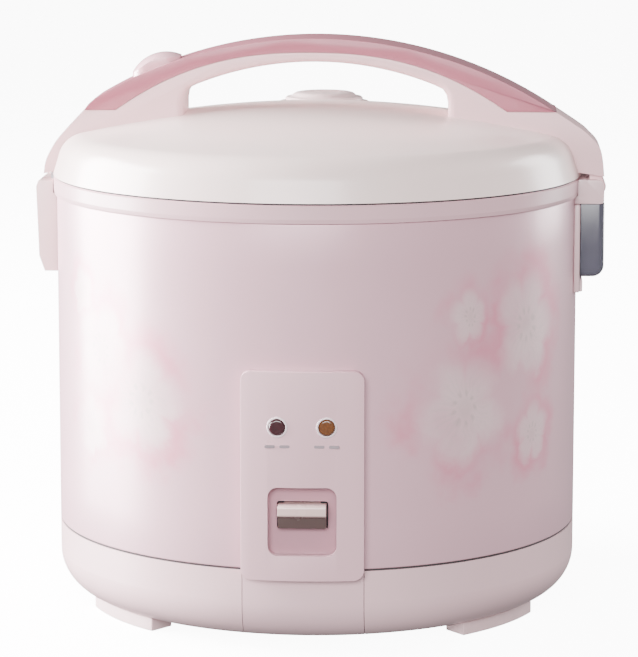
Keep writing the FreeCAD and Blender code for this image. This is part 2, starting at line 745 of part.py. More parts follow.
def latch_parts():
    w = latch_w / 2
    hub = bar_y(latch_x, -w, 1.5, latch_z, 3)
    tip_z = shell_top - 8
    plate = slab_xz([
        (plate_x, latch_z + 0.8),
        (plate_x - latch_t, latch_z + 0.8),
        (plate_x - latch_t, tip_z),
        (plate_x + 0.3, tip_z - 0.6),
        (plate_x + 0.75, tip_z + 1.4),
        (plate_x + 0.75, tip_z + 3.4),
        (plate_x, tip_z + 3.4),
    ], -w, w)
    web = box(plate_x - 0.1, latch_x - 3.3, -w, w, latch_z - 1.5, latch_z + 0.8)
    join = box(latch_x - 4, latch_x, -w, 1.5, latch_z - 1.5, latch_z + 0.8)
    pad = latch_pad_z()
    arm = slab_xz([
        (latch_x - 1, latch_z + 2.5),
        (latch_x + 1, latch_z - 2),
        (button_x + 6, pad - 3.5),
        (button_x + 6, pad),
        (button_x - 6, pad),
    ], -w, 1.5)
    foot = box(button_x - 6, button_x + 6, -w, w, pad - 2.5, pad)
    hook = union([hub, plate, web, join, arm, foot])
    hook = hook.cut(bar_y(latch_x, -w - 1, w + 1, latch_z, pin_r + running))
    save("latch_hook", [hook])
    save("latch_pin", [latch_pin_shape()])
    spring = coil(2.4, 0.35, 0.8, 2.4)
    spring.rotate(vec(0, 0, 0), vec(1, 0, 0), -90)
    spring.translate(vec(latch_x, 2.3, latch_z))
    save("latch_spring", [spring])

    low = shell_top - 41
    top = low + catch_h
    out = -(body_r + catch_depth)
    half = catch_w / 2
    body = slab_xz([
        (-body_r + 8, low),
        (out + 4, low),
        (out + 1.2, low + 8),
        (out, top - 3),
        (out + 1, top),
        (-body_r + 8, top),
    ], -half, half)
    body = body.cut(post(0, 0, low - 1, top + 1, body_r))
    body = body.cut(post(0, 0, shell_top - slack, ring_top, band_r + slack))
    room = box(out + 1.6, -(body_r + 0.3), -latch_w / 2 - 2, latch_w / 2 + 2, top - 20, top + 1)
    lip = box(-(body_r + 0.9), -body_r + 8, -latch_w / 2 - 3, latch_w / 2 + 3, shell_top - 3.8, shell_top - 0.3)
    lip = lip.cut(post(0, 0, low, top, body_r))
    save("catch_housing", [union([body.cut(room), lip])])


# hinge and dew collector

def hinge_parts():
    half = knuckle_w / 2
    plate = box(body_r - 8, body_r + 4, -half - 9.5, half + 9.5, hinge_z - 7.9, hinge_z + 4.5)
    arms = []
    for y in (-1, 1):
        y0, y1 = sorted((y * 5, y * half))
        arms.append(bar_y(hinge_x, y0, y1, hinge_z, knuckle_r))
        arms.append(box(body_r + 2, hinge_x, y0, y1, hinge_z - knuckle_r + 0.5, hinge_z + 4))
    low = hinge_z - 7.9
    cheek = [
        (body_r - 8, low),
        (hinge_x + 1.4, low),
        [(hinge_x + 2.8, low + 0.5), (hinge_x + 3.3, low + 2.4)],
        (hinge_x + 3.4, hinge_z),
        [(hinge_x + 2.6, hinge_z + 2.9), (hinge_x, hinge_z + 4.2)],
        (body_r - 8, hinge_z + 4.5),
    ]
    cheeks = [slab_xz(cheek, half + 4.3, half + 9.5), slab_xz(cheek, -half - 9.5, -half - 4.3)]
    bracket = union([plate] + arms + cheeks)
    bracket = bracket.cut(post(0, 0, 0, ring_top + 5, body_r))
    bracket = bracket.cut(post(0, 0, shell_top - 0.1, ring_top + 5, band_r))
    pin = bar_y(hinge_x, -half - 4, half + 4, hinge_z, hinge_pin_r)
    save("hinge_bracket", [bracket.cut(pin)])
    save("hinge_pin", [pin])
    spring = coil(3.1, 0.45, 1.2, 8.4)
    spring.rotate(vec(0, 0, 0), vec(1, 0, 0), -90)
    spring.translate(vec(hinge_x, -4.2, hinge_z))
    save("hinge_spring", [spring])


def collector_parts():
    top = hinge_z - 8.2
    low = top - cup_h
    half = cup_w / 2
    inner = body_r + 1.5
    cup = box(inner, inner + cup_deep, -half, half, low, top)
    corner = [e for e in cup.Edges if e.CenterOfMass.x > inner + cup_deep - 0.1 and e.CenterOfMass.z < low + 0.1]
    cup = cup.makeFillet(6, corner)
    sides = [e for e in cup.Edges if e.CenterOfMass.x > inner + cup_deep - 0.1
             and abs(e.tangentAt(e.FirstParameter).z) > 0.9]
    cup = cup.makeFillet(3, sides)
    room = box(inner + cup_wall, inner + cup_deep - cup_wall, -half + cup_wall, half - cup_wall,
               low + cup_wall, top + 1)
    corner = [e for e in room.Edges if e.CenterOfMass.x > inner + cup_deep - cup_wall - 0.1
              and e.CenterOfMass.z < low + cup_wall + 0.1]
    room = room.makeFillet(4.6, corner)
    save("dew_collector", [cup.cut(room)])

    plate = box(body_r - 8, body_r + 1.2, -half - 3, half + 3, low - 7.7, top)
    bump = box(body_r - 2, body_r + 2.8, -half, half, low - 7.7, low - 1)
    bracket = union([plate, bump]).cut(post(0, 0, 0, shell_top, body_r))
    save("collector_bracket", [bracket])


def main():
    os.makedirs("parts", exist_ok=True)
    skirt = base_parts()
    shell_and_ring()
    front_panel(skirt)
    lamps()
    lever_parts()
    pot_and_heater()
    thermostat()
    inlet()
    lid_shell()
    handle_parts()
    latch_parts()
    hinge_parts()
    collector_parts()


main()
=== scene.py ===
import math

import bpy
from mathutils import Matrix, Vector


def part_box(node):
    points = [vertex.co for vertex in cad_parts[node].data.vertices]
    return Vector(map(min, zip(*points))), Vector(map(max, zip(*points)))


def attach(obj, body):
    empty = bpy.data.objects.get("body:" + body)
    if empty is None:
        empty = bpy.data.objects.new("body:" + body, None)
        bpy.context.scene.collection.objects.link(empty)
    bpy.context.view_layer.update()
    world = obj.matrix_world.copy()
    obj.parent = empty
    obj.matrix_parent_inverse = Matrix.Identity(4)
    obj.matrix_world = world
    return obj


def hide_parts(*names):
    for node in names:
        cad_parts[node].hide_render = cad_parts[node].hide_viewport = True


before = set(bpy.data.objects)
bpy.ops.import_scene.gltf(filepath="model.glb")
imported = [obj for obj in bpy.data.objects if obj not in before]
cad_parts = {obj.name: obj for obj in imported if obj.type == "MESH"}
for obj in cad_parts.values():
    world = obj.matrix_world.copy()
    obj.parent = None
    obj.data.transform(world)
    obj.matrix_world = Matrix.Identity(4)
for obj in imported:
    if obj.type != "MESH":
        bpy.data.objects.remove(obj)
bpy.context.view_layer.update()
print("frame loaded:", len(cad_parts), "nodes")

mm = 0.001
shellLow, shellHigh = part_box("outer_shell")
lidLow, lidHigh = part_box("lid_cover")
bodyR, shellBottom, shellTop = shellHigh.x, shellLow.z, shellHigh.z
ringR, lidBottom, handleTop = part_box("top_ring")[1].x, lidLow.z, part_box("handle_grip")[1].z


def deselectAll():
    if bpy.context.object and bpy.context.object.mode != "OBJECT":
        bpy.ops.object.mode_set(mode="OBJECT")
    bpy.ops.object.select_all(action="DESELECT")


def makeActive(piece):
    deselectAll()
    piece.select_set(True)
    bpy.context.view_layer.objects.active = piece
    return piece


def editMode(piece, kind="VERT"):
    makeActive(piece)
    bpy.ops.object.mode_set(mode="EDIT")
    bpy.ops.mesh.select_mode(type=kind)


def objectMode():
    bpy.ops.object.mode_set(mode="OBJECT")


def pickEdges(piece, test):
    objectMode()
    verts = piece.data.vertices
    for polygon in piece.data.polygons:
        polygon.select = False
    for vertex in verts:
        vertex.select = False
    for edge in piece.data.edges:
        edge.select = test(verts[edge.vertices[0]].co, verts[edge.vertices[1]].co)
    bpy.ops.object.mode_set(mode="EDIT")


def nameIt(piece, name):
    piece.name = name
    piece.data.name = name
    return piece


def settle(piece):
    makeActive(piece)
    bpy.ops.object.transform_apply(location=True, rotation=True, scale=True)
    return piece


def mergeAndFace(piece, distance=0.00001):
    editMode(piece)
    bpy.ops.mesh.select_all(action="SELECT")
    bpy.ops.mesh.remove_doubles(threshold=distance)
    bpy.ops.mesh.normals_make_consistent(inside=False)
    objectMode()
    return piece


def smooth(piece, degrees=35):
    makeActive(piece)
    bpy.ops.object.shade_smooth_by_angle(angle=math.radians(degrees))
    return piece


def applyModifier(piece, kind, **values):
    makeActive(piece)
    modifier = piece.modifiers.new(kind.title(), kind)
    for key, value in values.items():
        setattr(modifier, key, value)
    bpy.ops.object.modifier_apply(modifier=modifier.name)
    return piece


def softenEdges(piece, width, segments=3, angle=40):
    applyModifier(piece, "BEVEL", width=width, segments=segments, limit_method="ANGLE",
                  angle_limit=math.radians(angle), miter_outer="MITER_ARC", use_clamp_overlap=True)
    return smooth(piece)


def boolean(piece, other, operation="DIFFERENCE"):
    applyModifier(piece, "BOOLEAN", object=other, operation=operation, solver="EXACT")
    bpy.data.objects.remove(other)
    return piece


def block(name, low, high):
    deselectAll()
    low, high = Vector(low), Vector(high)
    bpy.ops.mesh.primitive_cube_add(size=1, location=(low + high) / 2)
    piece = nameIt(bpy.context.object, name)
    bpy.ops.transform.resize(value=tuple(high - low))
    return settle(piece)


def roundedBlock(name, low, high, radius, axis, segments=8):
    piece = block(name, low, high)
    editMode(piece, "EDGE")
    others = [i for i in range(3) if i != axis]
    pickEdges(piece, lambda a, b: all(abs(a[i] - b[i]) < 1e-6 for i in others))
    bpy.ops.mesh.bevel(offset=radius, segments=segments, affect="EDGES")
    objectMode()
    return piece


def pegAlongY(name, radius, depth, spot, vertices):
    deselectAll()
    bpy.ops.mesh.primitive_cylinder_add(vertices=vertices, radius=radius, depth=depth, location=spot,
                                        rotation=(math.pi / 2, 0, 0))
    return settle(nameIt(bpy.context.object, name))


def turned(name, rings, segments=192, center=(0, 0), capStart=False, capEnd=False, loop=False):
    # rings of (radius, height), extruded one after the other
    deselectAll()
    x, y = center
    radius, height = rings[0]
    bpy.ops.mesh.primitive_circle_add(vertices=segments, radius=radius, location=(x, y, height),
                                      fill_type="NGON" if capStart else "NOTHING")
    piece = nameIt(bpy.context.object, name)
    bpy.ops.object.transform_apply(location=True)
    bpy.ops.object.mode_set(mode="EDIT")
    bpy.ops.mesh.select_all(action="SELECT")
    steps = list(rings[1:]) + ([rings[0]] if loop else [])
    for nextRadius, nextHeight in steps:
        bpy.ops.mesh.extrude_edges_move(TRANSFORM_OT_translate={"value": (0, 0, nextHeight - height)})
        grow = nextRadius / radius
        bpy.ops.transform.resize(value=(grow, grow, 1), center_override=(x, y, nextHeight))
        radius, height = nextRadius, nextHeight
    if capEnd:
        bpy.ops.mesh.edge_face_add()
    objectMode()
    return mergeAndFace(piece)


def arcRings(centerR, centerZ, radius, fromDegrees, toDegrees, count):
    found = []
    for i in range(count + 1):
        angle = math.radians(fromDegrees + (toDegrees - fromDegrees) * i / count)
        found.append((centerR + radius * math.cos(angle), centerZ + radius * math.sin(angle)))
    return found


def refinedCopy(node, name, width, segments, angle):
    # a copy of a node's own shape with softened edges; the node itself stays as it is
    makeActive(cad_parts[node])
    bpy.ops.object.duplicate()
    piece = nameIt(bpy.context.object, name)
    piece.parent = None
    for key in list(piece.keys()):
        del piece[key]
    mergeAndFace(piece, 0.000002)
    editMode(piece)
    bpy.ops.mesh.select_all(action="SELECT")
    bpy.ops.mesh.dissolve_limited(angle_limit=math.radians(1.0))
    objectMode()
    return softenEdges(piece, width, segments, angle)


def give(piece, material):
    piece.data.materials.clear()
    piece.data.materials.append(material)
    return piece


def place(piece, body, material, *nodes):
    give(piece, material)
    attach(piece, body)
    if nodes:
        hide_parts(*nodes)
    return piece


def tint(red, green, blue):
    # screen colour, 0 to 255, as the light values a shader takes
    def light(value):
        value /= 255
        return value / 12.92 if value <= 0.04045 else ((value + 0.055) / 1.055) ** 2.4
    return (light(red), light(green), light(blue), 1)


def newMaterial(name):
    material = bpy.data.materials.new(name)
    material.use_nodes = True
    shader = material.node_tree.nodes["Principled BSDF"]
    return material, material.node_tree, shader


def addNode(tree, kind, **values):
    node = tree.nodes.new(kind)
    for key, value in values.items():
        setattr(node, key, value)
    return node


def objectCoordinates(tree, scale=(1, 1, 1)):
    source = addNode(tree, "ShaderNodeTexCoord")
    mapping = addNode(tree, "ShaderNodeMapping")
    mapping.inputs["Scale"].default_value = scale
    tree.links.new(source.outputs["Object"], mapping.inputs["Vector"])
    return mapping.outputs["Vector"]


def noise(tree, vector, scale, detail=3, rough=0.5):
    node = addNode(tree, "ShaderNodeTexNoise")
    node.inputs["Scale"].default_value = scale
    node.inputs["Detail"].default_value = detail
    node.inputs["Roughness"].default_value = rough
    tree.links.new(vector, node.inputs["Vector"])
    return node.outputs["Fac"]


def ramp(tree, value, stops):
    node = addNode(tree, "ShaderNodeValToRGB")
    elements = node.color_ramp.elements
    while len(elements) < len(stops):
        elements.new(0.5)
    for element, (position, color) in zip(elements, stops):
        element.position = position
        element.color = color
    tree.links.new(value, node.inputs["Fac"])
    return node.outputs["Color"]


def span(tree, value, low, high):
    node = addNode(tree, "ShaderNodeMapRange")
    node.inputs["To Min"].default_value = low
    node.inputs["To Max"].default_value = high
    tree.links.new(value, node.inputs["Value"])
    return node.outputs["Result"]


def calc(tree, operation, a, b=None):
    node = addNode(tree, "ShaderNodeMath", operation=operation)
    for socket, value in zip(node.inputs, (a, b)):
        if value is None:
            continue
        if isinstance(value, (int, float)):
            socket.default_value = value
        else:
            tree.links.new(value, socket)
    return node.outputs[0]


def bump(tree, shader, height, strength, distance):
    node = addNode(tree, "ShaderNodeBump")
    node.inputs["Strength"].default_value = strength
    node.inputs["Distance"].default_value = distance
    tree.links.new(height, node.inputs["Height"])
    tree.links.new(node.outputs["Normal"], shader.inputs["Normal"])
    return node


def mottled(color, amount):
    return tuple(min(1, c * (1 + amount)) for c in color[:3]) + (1,)


plasticLook = {"grain": 1500, "grainDepth": 0.00003, "cloud": 22, "cloudAmount": 0.025, "wear": 60,
               "gloss": 0.18}


def plastic(name, color, rough=0.32, coat=0.25):
    # a faint cloud in the colour, fine moulding grain, uneven gloss
    material, tree, shader = newMaterial(name)
    here = objectCoordinates(tree)
    cloud = noise(tree, here, plasticLook["cloud"], 4)
    low = mottled(color, -plasticLook["cloudAmount"])
    high = mottled(color, plasticLook["cloudAmount"])
    tree.links.new(ramp(tree, cloud, [(0.3, low), (0.7, high)]), shader.inputs["Base Color"])
    wear = noise(tree, here, plasticLook["wear"], 2)
    tree.links.new(span(tree, wear, rough - 0.02, rough + 0.03), shader.inputs["Roughness"])
    shader.inputs["Coat Weight"].default_value = coat
    shader.inputs["Coat Roughness"].default_value = plasticLook["gloss"]
    grain = noise(tree, here, plasticLook["grain"], 2)
    bump(tree, shader, grain, 0.12, plasticLook["grainDepth"])
    return material


metalLook = {"stretch": 60, "lines": 60, "stain": 30, "relief": 0.00005}


def metal(name, color, rough, turnedAlong="Z"):
    # hair lines around its axis and faint stains
    material, tree, shader = newMaterial(name)
    stretch = {"Z": (1, 1, metalLook["stretch"]), "Y": (1, metalLook["stretch"], 1)}[turnedAlong]
    lines = noise(tree, objectCoordinates(tree, stretch), metalLook["lines"], 6, 0.7)
    stain = noise(tree, objectCoordinates(tree), metalLook["stain"], 4)
    low = mottled(color, -0.12)
    tree.links.new(ramp(tree, stain, [(0.25, low), (0.65, color)]), shader.inputs["Base Color"])
    tree.links.new(span(tree, lines, rough - 0.1, rough + 0.12), shader.inputs["Roughness"])
    shader.inputs["Metallic"].default_value = 1.0
    bump(tree, shader, lines, 0.1, metalLook["relief"])
    return material


def keyShadedPlastic(name, ledge, face, level):
    # light ledge above, face below darker: painted shade where the face turns downward
    material, tree, shader = newMaterial(name)
    here = objectCoordinates(tree)
    parts = addNode(tree, "ShaderNodeSeparateXYZ")
    tree.links.new(here, parts.inputs["Vector"])
    wave = calc(tree, "MULTIPLY", calc(tree, "SUBTRACT", noise(tree, here, 300, 2), 0.5), 0.0004)
    height = addNode(tree, "ShaderNodeMapRange")
    height.inputs["From Min"].default_value = level - 0.5 * mm
    height.inputs["From Max"].default_value = level + 0.5 * mm
    tree.links.new(calc(tree, "ADD", parts.outputs["Z"], wave), height.inputs["Value"])
    # painted shade: below the level the face takes the dark colour, above it the ledge colour
    shadeBlend = ramp(tree, height.outputs["Result"], [(0.0, face), (1.0, ledge)])
    tree.links.new(shadeBlend, shader.inputs["Base Color"])
    tree.links.new(span(tree, noise(tree, here, 160, 3), 0.2, 0.32), shader.inputs["Roughness"])
    shader.inputs["Coat Weight"].default_value = 0.5
    bump(tree, shader, noise(tree, here, 1400, 2), 0.1, 0.00003)
    return material


def panelShadedPlastic(name, face, recess, outR):
    # the pocket behind the face darkens with depth: painted shade
    material, tree, shader = newMaterial(name)
    here = objectCoordinates(tree)
    parts = addNode(tree, "ShaderNodeSeparateXYZ")
    tree.links.new(here, parts.inputs["Vector"])
    across = calc(tree, "MULTIPLY", parts.outputs["X"], parts.outputs["X"])
    inward = calc(tree, "MULTIPLY", parts.outputs["Y"], parts.outputs["Y"])
    away = calc(tree, "SQRT", calc(tree, "ADD", across, inward))
    cloud = calc(tree, "MULTIPLY", calc(tree, "SUBTRACT", noise(tree, here, 60, 3), 0.5), 0.0006)
    depth = addNode(tree, "ShaderNodeMapRange")
    depth.inputs["From Min"].default_value = outR - 4.5 * mm
    depth.inputs["From Max"].default_value = outR - 1.2 * mm
    tree.links.new(calc(tree, "ADD", away, cloud), depth.inputs["Value"])
    # painted shade: the deeper the surface lies in the pocket, the nearer it is to the recess colour
    shadeBlend = ramp(tree, depth.outputs["Result"], [(0.0, recess), (1.0, face)])
    tree.links.new(shadeBlend, shader.inputs["Base Color"])
    wear = noise(tree, here, plasticLook["wear"], 2)
    tree.links.new(span(tree, wear, 0.34, 0.39), shader.inputs["Roughness"])
    shader.inputs["Coat Weight"].default_value = 0.25
    shader.inputs["Coat Roughness"].default_value = plasticLook["gloss"]
    bump(tree, shader, noise(tree, here, plasticLook["grain"], 2), 0.12, plasticLook["grainDepth"])
    return material


def rubber(name, color, rough=0.7):
    material, tree, shader = newMaterial(name)
    here = objectCoordinates(tree)
    dust = noise(tree, here, 90, 6, 0.65)
    tree.links.new(ramp(tree, dust, [(0.3, mottled(color, -0.06)), (0.75, mottled(color, 0.06))]),
                   shader.inputs["Base Color"])
    tree.links.new(span(tree, dust, rough - 0.08, rough + 0.1), shader.inputs["Roughness"])
    bump(tree, shader, noise(tree, here, 900, 3), 0.2, 0.00006)
    return material


def smokyPlastic(name, color):
    material, tree, shader = newMaterial(name)
    here = objectCoordinates(tree)
    cloud = noise(tree, here, 35, 3)
    tree.links.new(ramp(tree, cloud, [(0.3, mottled(color, -0.1)), (0.7, mottled(color, 0.08))]),
                   shader.inputs["Base Color"])
    tree.links.new(span(tree, noise(tree, here, 200, 4), 0.16, 0.3), shader.inputs["Roughness"])
    shader.inputs["Transmission Weight"].default_value = 0.35
    shader.inputs["IOR"].default_value = 1.49
    bump(tree, shader, noise(tree, here, 700, 2), 0.08, 0.00004)
    return material


def lensGlass(name, color):
    # coloured plastic with a prism pattern behind the face
    material, tree, shader = newMaterial(name)
    here = objectCoordinates(tree)
    cells = addNode(tree, "ShaderNodeTexVoronoi")
    cells.inputs["Scale"].default_value = 900
    tree.links.new(here, cells.inputs["Vector"])
    prisms = ramp(tree, cells.outputs["Distance"], [(0.0, mottled(color, 0.25)), (0.8, mottled(color, -0.2))])
    tree.links.new(prisms, shader.inputs["Base Color"])
    shader.inputs["Coat Weight"].default_value = 0.6
    tree.links.new(span(tree, noise(tree, here, 300, 2), 0.2, 0.3), shader.inputs["Roughness"])
    shader.inputs["Transmission Weight"].default_value = 0.15
    bump(tree, shader, cells.outputs["Distance"], 0.15, 0.0001)
    return material


printLook = {
    "ground": tint(221, 176, 187),
    "petal": tint(236, 210, 211),
    "halo": tint(224, 130, 156),
    "vein": tint(190, 176, 172),
    "stamen": tint(158, 146, 140),
    # angle round the body from the front, height, radius, turn of the petals, squeeze
    "blossoms": [
        (35, 0.1190, 0.0300, 0.4, 0.95),
        (54, 0.1560, 0.0300, 1.3, 0.85),
        (36, 0.1640, 0.0150, 2.2, 0.80),
        (56, 0.1010, 0.0170, 0.9, 0.90),
        (-50, 0.1430, 0.0260, 0.1, 0.85),
        (-37, 0.1210, 0.0280, 1.1, 1.00),
        (-54, 0.1040, 0.0180, 2.0, 0.90),
        (-58, 0.1700, 0.0140, 0.6, 0.80),
        (143, 0.1210, 0.0290, 0.7, 0.95),
        (126, 0.1500, 0.0270, 1.9, 0.90),
        (160, 0.1560, 0.0160, 0.2, 0.85),
        (-135, 0.1200, 0.0300, 1.5, 0.95),
        (-152, 0.1560, 0.0260, 0.3, 0.90),
        (-120, 0.1580, 0.0150, 2.4, 0.85),
    ],
}


def blossomGroup():
    # one watercolour blossom round a point of the unrolled shell
    group = bpy.data.node_groups.new("blossom", "ShaderNodeTree")
    for name in ("Around", "Height", "Warp", "Centre", "Level", "Radius", "Turn", "Squeeze"):
        group.interface.new_socket(name, in_out="INPUT", socket_type="NodeSocketFloat")
    for name in ("Petal", "Halo", "Vein", "Stamen"):
        group.interface.new_socket(name, in_out="OUTPUT", socket_type="NodeSocketFloat")
    start = group.nodes.new("NodeGroupInput").outputs
    end = group.nodes.new("NodeGroupOutput").inputs

    def m(operation, a, b=None):
        return calc(group, operation, a, b)

    sideways = m("DIVIDE", m("SUBTRACT", start["Around"], start["Centre"]), start["Squeeze"])
    across = m("DIVIDE", sideways, start["Radius"])
    upward = m("DIVIDE", m("SUBTRACT", start["Height"], start["Level"]), start["Radius"])
    away = m("SQRT", m("ADD", m("MULTIPLY", across, across), m("MULTIPLY", upward, upward)))
    angle = m("ADD", m("ARCTAN2", upward, across), start["Turn"])
    lobe = m("POWER", m("ABSOLUTE", m("COSINE", m("MULTIPLY", angle, 2.5))), 0.6)
    ragged = m("MULTIPLY", m("SUBTRACT", start["Warp"], 0.5), 0.5)
    edge = m("ADD", m("ADD", 0.66, m("MULTIPLY", lobe, 0.28)), ragged)
    inside = m("SUBTRACT", edge, away)

    def band(value, low, high):
        node = addNode(group, "ShaderNodeMapRange", interpolation_type="SMOOTHSTEP")
        node.inputs["From Min"].default_value = low
        node.inputs["From Max"].default_value = high
        group.links.new(value, node.inputs["Value"])
        return node.outputs["Result"]

    petal = band(inside, -0.14, 0.32)
    halo = m("MULTIPLY", band(inside, -0.75, 0.0), m("SUBTRACT", 1.0, petal))
    wander = m("ADD", m("MULTIPLY", angle, 12.5), m("MULTIPLY", start["Warp"], 9.0))
    rays = m("POWER", m("ABSOLUTE", m("SINE", wander)), 5.0)
    reach = m("MULTIPLY", band(away, 0.12, 0.3), band(inside, 0.1, 0.5))
    seam = m("SUBTRACT", 1.0, band(lobe, 0.05, 0.5))
    drawnLines = m("ADD", m("MULTIPLY", rays, 0.45), m("MULTIPLY", seam, 0.55))
    vein = m("MULTIPLY", drawnLines, m("MULTIPLY", petal, band(away, 0.08, 0.3)))
    core = m("SUBTRACT", 1.0, band(away, 0.08, 0.26))
    dots = m("MULTIPLY", m("POWER", m("ABSOLUTE", m("SINE", m("MULTIPLY", angle, 4.5))), 3.0),
             m("MULTIPLY", band(away, 0.16, 0.22), m("SUBTRACT", 1.0, band(away, 0.26, 0.34))))
    group.links.new(petal, end["Petal"])
    group.links.new(halo, end["Halo"])
    group.links.new(m("MULTIPLY", vein, reach), end["Vein"])
    group.links.new(m("MAXIMUM", m("MULTIPLY", core, 0.5), dots), end["Stamen"])
    return group


def pearlPrint(name, bodyRadius):
    material, tree, shader = newMaterial(name)
    here = objectCoordinates(tree)
    parts = addNode(tree, "ShaderNodeSeparateXYZ")
    tree.links.new(here, parts.inputs["Vector"])
    soft = noise(tree, here, 34, 3, 0.55)
    fine = noise(tree, here, 120, 4, 0.6)
    turn = calc(tree, "ARCTAN2", parts.outputs["X"], calc(tree, "MULTIPLY", parts.outputs["Y"], -1.0))
    around = calc(tree, "ADD", calc(tree, "MULTIPLY", turn, bodyRadius),
                   calc(tree, "MULTIPLY", calc(tree, "SUBTRACT", soft, 0.5), 0.012))
    height = calc(tree, "ADD", parts.outputs["Z"],
                   calc(tree, "MULTIPLY", calc(tree, "SUBTRACT", fine, 0.5), 0.006))
    group = blossomGroup()
    totals = {}
    for degrees, level, radius, spin, squeeze in printLook["blossoms"]:
        flower = addNode(tree, "ShaderNodeGroup", node_tree=group)
        tree.links.new(around, flower.inputs["Around"])
        tree.links.new(height, flower.inputs["Height"])
        tree.links.new(fine, flower.inputs["Warp"])
        values = {"Centre": math.radians(degrees) * bodyRadius, "Level": level, "Radius": radius,
                  "Turn": spin, "Squeeze": squeeze}
        for key, value in values.items():
            flower.inputs[key].default_value = value
        for key in ("Petal", "Halo", "Vein", "Stamen"):
            output = flower.outputs[key]
            totals[key] = calc(tree, "MAXIMUM", totals[key], output) if key in totals else output

    def layer(below, color, amount, strength):
        mix = addNode(tree, "ShaderNodeMix", data_type="RGBA")
        tree.links.new(calc(tree, "MULTIPLY", amount, strength), mix.inputs["Factor"])
        tree.links.new(below, mix.inputs["A"])
        mix.inputs["B"].default_value = color
        return mix.outputs["Result"]

    wash = ramp(tree, noise(tree, here, 9, 3), [(0.3, mottled(printLook["ground"], -0.03)),
                                                 (0.7, mottled(printLook["ground"], 0.03))])
    patchy = ramp(tree, noise(tree, here, 30, 3), [(0.38, (0.12, 0.12, 0.12, 1)), (0.60, (1, 1, 1, 1))])
    faded = ramp(tree, noise(tree, here, 38, 4), [(0.34, (0.25, 0.25, 0.25, 1)), (0.6, (1, 1, 1, 1))])
    color = layer(wash, printLook["halo"], calc(tree, "MULTIPLY", totals["Halo"], patchy), 0.72)
    color = layer(color, printLook["petal"], calc(tree, "MULTIPLY", totals["Petal"], faded), 0.6)
    color = layer(color, printLook["vein"], totals["Vein"], 0.35)
    color = layer(color, printLook["stamen"], totals["Stamen"], 0.32)
    tree.links.new(color, shader.inputs["Base Color"])
    tree.links.new(span(tree, noise(tree, here, 80, 4), 0.30, 0.38), shader.inputs["Roughness"])
    shader.inputs["Coat Weight"].default_value = 0.3
    shader.inputs["Coat Roughness"].default_value = 0.2
    shader.inputs["Metallic"].default_value = 0.12
    bump(tree, shader, noise(tree, here, 260, 3), 0.04, 0.0001)
    return material


looks = {
    "shell": pearlPrint("pearl_print", bodyR),
    "base": plastic("base_plastic", tint(228, 190, 195), 0.36),
    "band": plastic("band_plastic", tint(218, 176, 184), 0.34),
    "lid": plastic("lid_plastic", tint(250, 226, 222), 0.30, 0.35),
    "strap": plastic("strap_plastic", tint(240, 196, 200), 0.30, 0.35),
    "grip": plastic("grip_plastic", tint(172, 98, 114), 0.32, 0.3),
    "button": plastic("button_plastic", tint(230, 176, 186), 0.22, 0.6),
    # the second colour is painted shade deep in the key recess
    "panel": panelShadedPlastic("panel_shaded_plastic", tint(226, 182, 191), tint(182, 134, 146), bodyR + 5.5 * mm),
    # painted shade: the dark colour of the rings in the seams
    "seamShade": rubber("seam_shade_rubber", tint(58, 50, 52), 0.8),
    "skirt": plastic("skirt_plastic", tint(226, 188, 194), 0.36),
    "cap": plastic("cap_plastic", tint(228, 200, 200), 0.36),
    "catch": plastic("catch_plastic", tint(246, 214, 214), 0.32),
    "bracket": plastic("bracket_plastic", tint(226, 192, 196), 0.36),
    # the second colour is painted shade for the key's downward face
    "key": keyShadedPlastic("key_shaded_plastic", tint(234, 200, 196), tint(94, 76, 74),
                      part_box("cook_key")[1].z - 5.2 * mm),
    "liner": plastic("liner_plastic", tint(226, 218, 216), 0.42, 0.1),
    "socket": plastic("socket_plastic", tint(78, 72, 74), 0.5, 0.0),
    "switch": plastic("switch_plastic", tint(44, 42, 42), 0.5, 0.0),
    "plunger": plastic("plunger_plastic", tint(190, 60, 52), 0.4, 0.1),
    "sleeve": rubber("sleeve_fibre", tint(224, 220, 210), 0.8),
    "board": plastic("board_laminate", tint(150, 126, 86), 0.55, 0.0),
    "foot": rubber("foot_rubber", tint(226, 192, 195), 0.55),
    "gasket": rubber("gasket_silicone", tint(216, 212, 208), 0.45),
    "steel": metal("galvanised_steel", tint(176, 178, 182), 0.36),
    "pin": metal("turned_pin_steel", tint(170, 172, 176), 0.28, "Y"),
    "pot": metal("pot_aluminium", tint(196, 198, 202), 0.32),
    "heater": metal("heater_aluminium", tint(184, 186, 190), 0.36),
    "element": metal("element_sheath", tint(112, 108, 106), 0.5),
    "brass": metal("plated_brass", tint(206, 188, 138), 0.3, "Y"),
    "ferrite": rubber("ferrite_black", tint(52, 50, 50), 0.6),
    "bulb": smokyPlastic("bulb_glass", tint(230, 210, 190)),
    "lensCook": lensGlass("lens_dark_red", tint(66, 26, 34)),
    "lensWarm": lensGlass("lens_amber", tint(112, 64, 26)),
    "smoky": smokyPlastic("collector_smoky", tint(96, 94, 108)),
    "bezel": plastic("bezel_plastic", tint(236, 214, 220), 0.25, 0.5),
    "dash": plastic("dash_print", tint(150, 136, 142), 0.5, 0.0),
}

